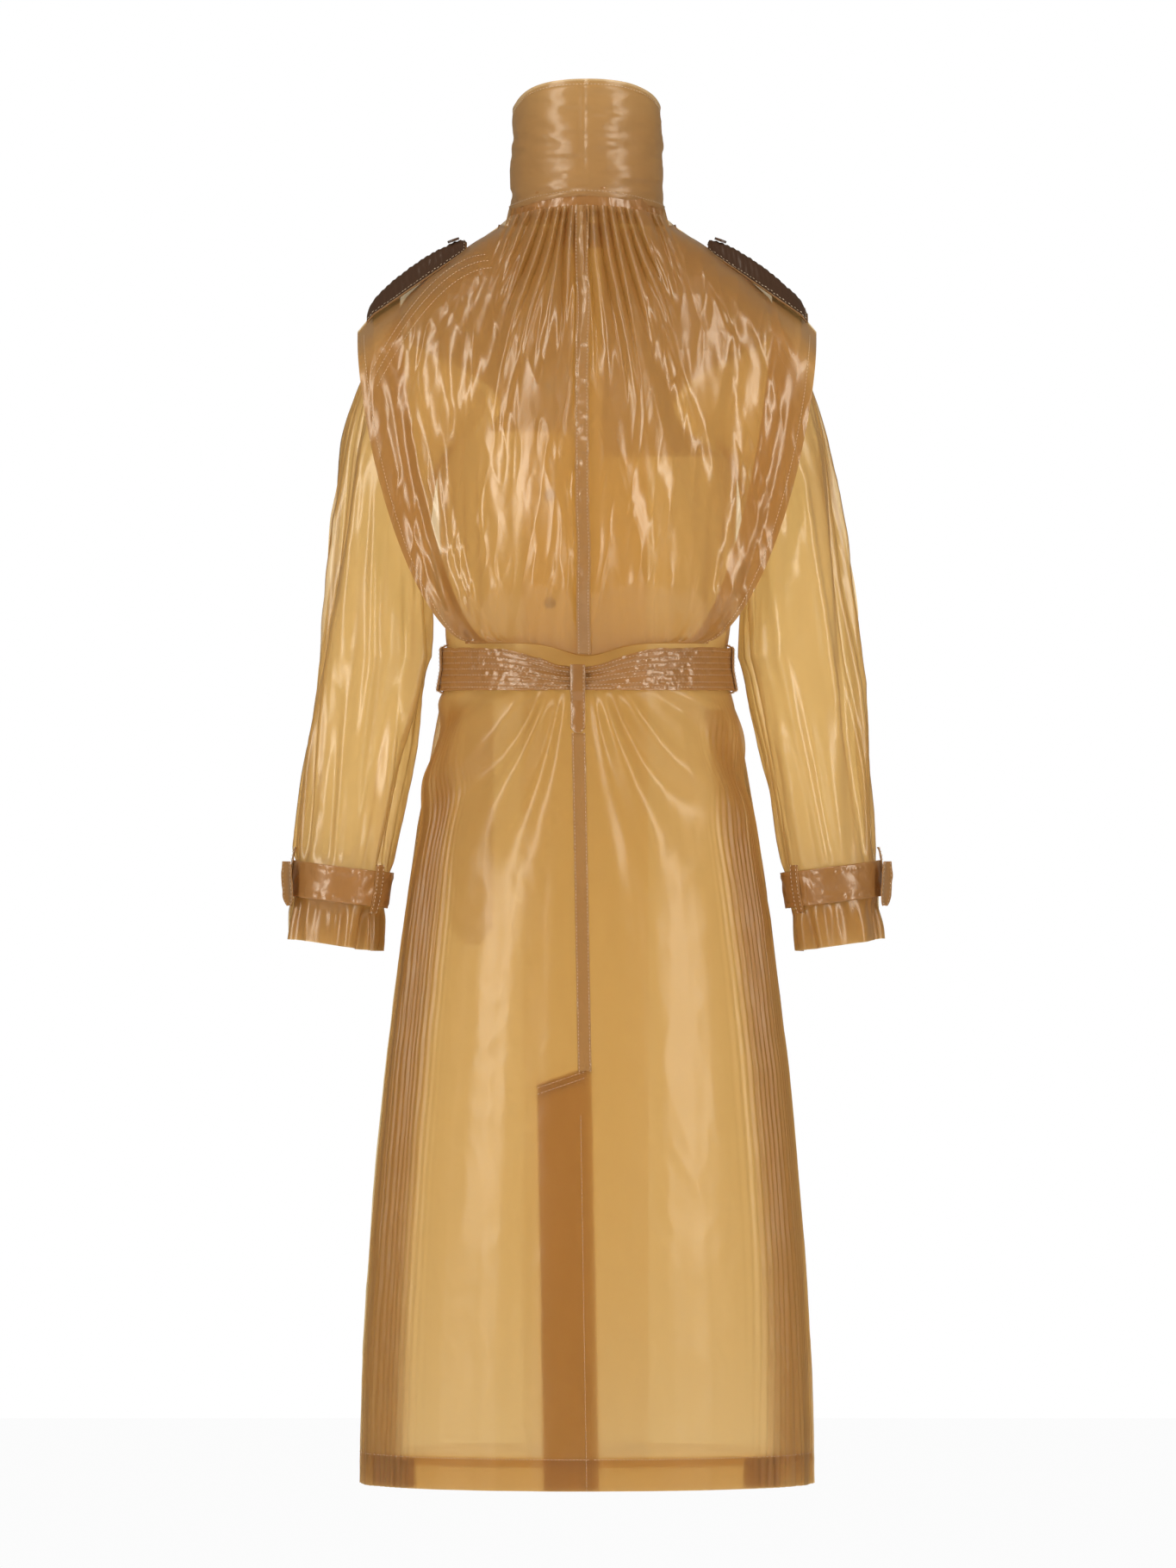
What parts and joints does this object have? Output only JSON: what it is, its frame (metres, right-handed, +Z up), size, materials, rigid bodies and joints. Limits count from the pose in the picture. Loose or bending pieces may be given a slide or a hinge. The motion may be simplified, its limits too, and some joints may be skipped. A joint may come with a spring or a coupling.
{
  "type": "trench coat",
  "caption": "Long belted raincoat in thin translucent cloth: raised collar, gathered back cape, shoulder straps, cuff straps, belt, back vent.",
  "frame": {"origin": "middle of the hanging loop inside the back of the neck", "axes": "+Z up along the hanging coat, +Y towards the wearer's front, +X towards the wearer's right"},
  "size_m": [0.5848, 0.3, 1.343],
  "materials": {
    "cloth": "gloss",
    "doubled_cloth": "gloss",
    "strap": "gloss",
    "dark_cloth": "satin",
    "buckle": "gloss"
  },
  "bodies": {
    "coat": {"back_left": "cloth", "back_right": "cloth", "vent_underlap": "doubled_cloth", "seam_strip": "strap", "front_left": "cloth", "front_right": "cloth", "press_stud_1": "buckle", "press_stud_2": "buckle", "press_stud_3": "buckle", "press_stud_4": "buckle", "gun_flap_left": "cloth", "gun_flap_right": "cloth", "side_pleat_left": "doubled_cloth", "side_pleat_right": "doubled_cloth", "storm_cape_left": "cloth", "storm_cape_right": "cloth", "cape_seam_strip": "strap", "collar_stand": "doubled_cloth", "collar_leaf": "doubled_cloth", "hang_loop": "strap", "neck_label": "dark_cloth", "belt": "strap", "belt_buckle": "buckle", "belt_loop_left": "strap", "belt_loop_right": "strap", "belt_keeper": "strap"},
    "vent_corner": {"vent_corner": "cloth"},
    "front_corner": {"front_corner": "cloth"},
    "epaulette_left": {"epaulette_left": "dark_cloth", "epaulette_button_left": "buckle"},
    "epaulette_right": {"epaulette_right": "dark_cloth", "epaulette_button_right": "buckle"},
    "sleeve_left": {"sleeve_upper_left": "cloth"},
    "sleeve_right": {"sleeve_upper_right": "cloth"},
    "forearm_left": {"sleeve_lower_left": "cloth", "cuff_strap_left": "strap", "cuff_keeper_left": "strap", "cuff_loop_left": "strap"},
    "forearm_right": {"sleeve_lower_right": "cloth", "cuff_strap_right": "strap", "cuff_keeper_right": "strap", "cuff_loop_right": "strap"},
    "cuff_tab_left": {"cuff_tab_left": "strap"},
    "cuff_tab_right": {"cuff_tab_right": "strap"},
    "belt_prong": {"belt_prong": "buckle"},
    "belt_tail": {"belt_tail": "strap"}
  },
  "joints": [
    {"name": "sleeve_raise_left", "type": "hinge", "parent": "coat", "child": "sleeve_left", "pos_m": [-0.2, 0.0435, -0.125], "axis": [0, 1, 0], "range_deg": [0, 60]},
    {"name": "sleeve_raise_right", "type": "hinge", "parent": "coat", "child": "sleeve_right", "pos_m": [0.2, 0.0435, -0.125], "axis": [0, -1, 0], "range_deg": [0, 60]},
    {"name": "elbow_bend_left", "type": "hinge", "parent": "sleeve_left", "child": "forearm_left", "pos_m": [-0.2045, 0.0735, -0.436], "axis": [1, 0, 0], "range_deg": [0, 60]},
    {"name": "elbow_bend_right", "type": "hinge", "parent": "sleeve_right", "child": "forearm_right", "pos_m": [0.2045, 0.0735, -0.436], "axis": [1, 0, 0], "range_deg": [0, 60]},
    {"name": "cuff_tab_lift_left", "type": "hinge", "parent": "forearm_left", "child": "cuff_tab_left", "pos_m": [-0.2845, 0.0214, -0.631], "axis": [-0.4078, 0.9131, 0], "range_deg": [0, 75]},
    {"name": "cuff_tab_lift_right", "type": "hinge", "parent": "forearm_right", "child": "cuff_tab_right", "pos_m": [0.2845, 0.0214, -0.631], "axis": [-0.4078, -0.9131, 0], "range_deg": [0, 75]},
    {"name": "epaulette_lift_left", "type": "hinge", "parent": "coat", "child": "epaulette_left", "pos_m": [-0.211, 0.0481, -0.1], "axis": [0, -1, 0], "range_deg": [0, 130]},
    {"name": "epaulette_lift_right", "type": "hinge", "parent": "coat", "child": "epaulette_right", "pos_m": [0.211, 0.0481, -0.1], "axis": [0, 1, 0], "range_deg": [0, 130]},
    {"name": "vent_corner_fold", "type": "hinge", "parent": "coat", "child": "vent_corner", "pos_m": [-0.00206, -0.09044, -0.833], "axis": [-0.2104, -0.0572, -0.9759], "range_deg": [0, 45]},
    {"name": "front_corner_fold", "type": "hinge", "parent": "coat", "child": "front_corner", "pos_m": [-0.062, 0.15096, -0.52], "axis": [0.2278, 0.0808, -0.9703], "range_deg": [0, 40]},
    {"name": "belt_tail_swing", "type": "hinge", "parent": "coat", "child": "belt_tail", "pos_m": [-0.1127, 0.1016, -0.4775], "axis": [0.7091, 0.7051, 0], "range_deg": [0, 45]},
    {"name": "belt_prong_lift", "type": "hinge", "parent": "coat", "child": "belt_prong", "pos_m": [-0.11135, 0.11522, -0.447], "axis": [0, 0, 1], "range_deg": [0, 60]}
  ]
}
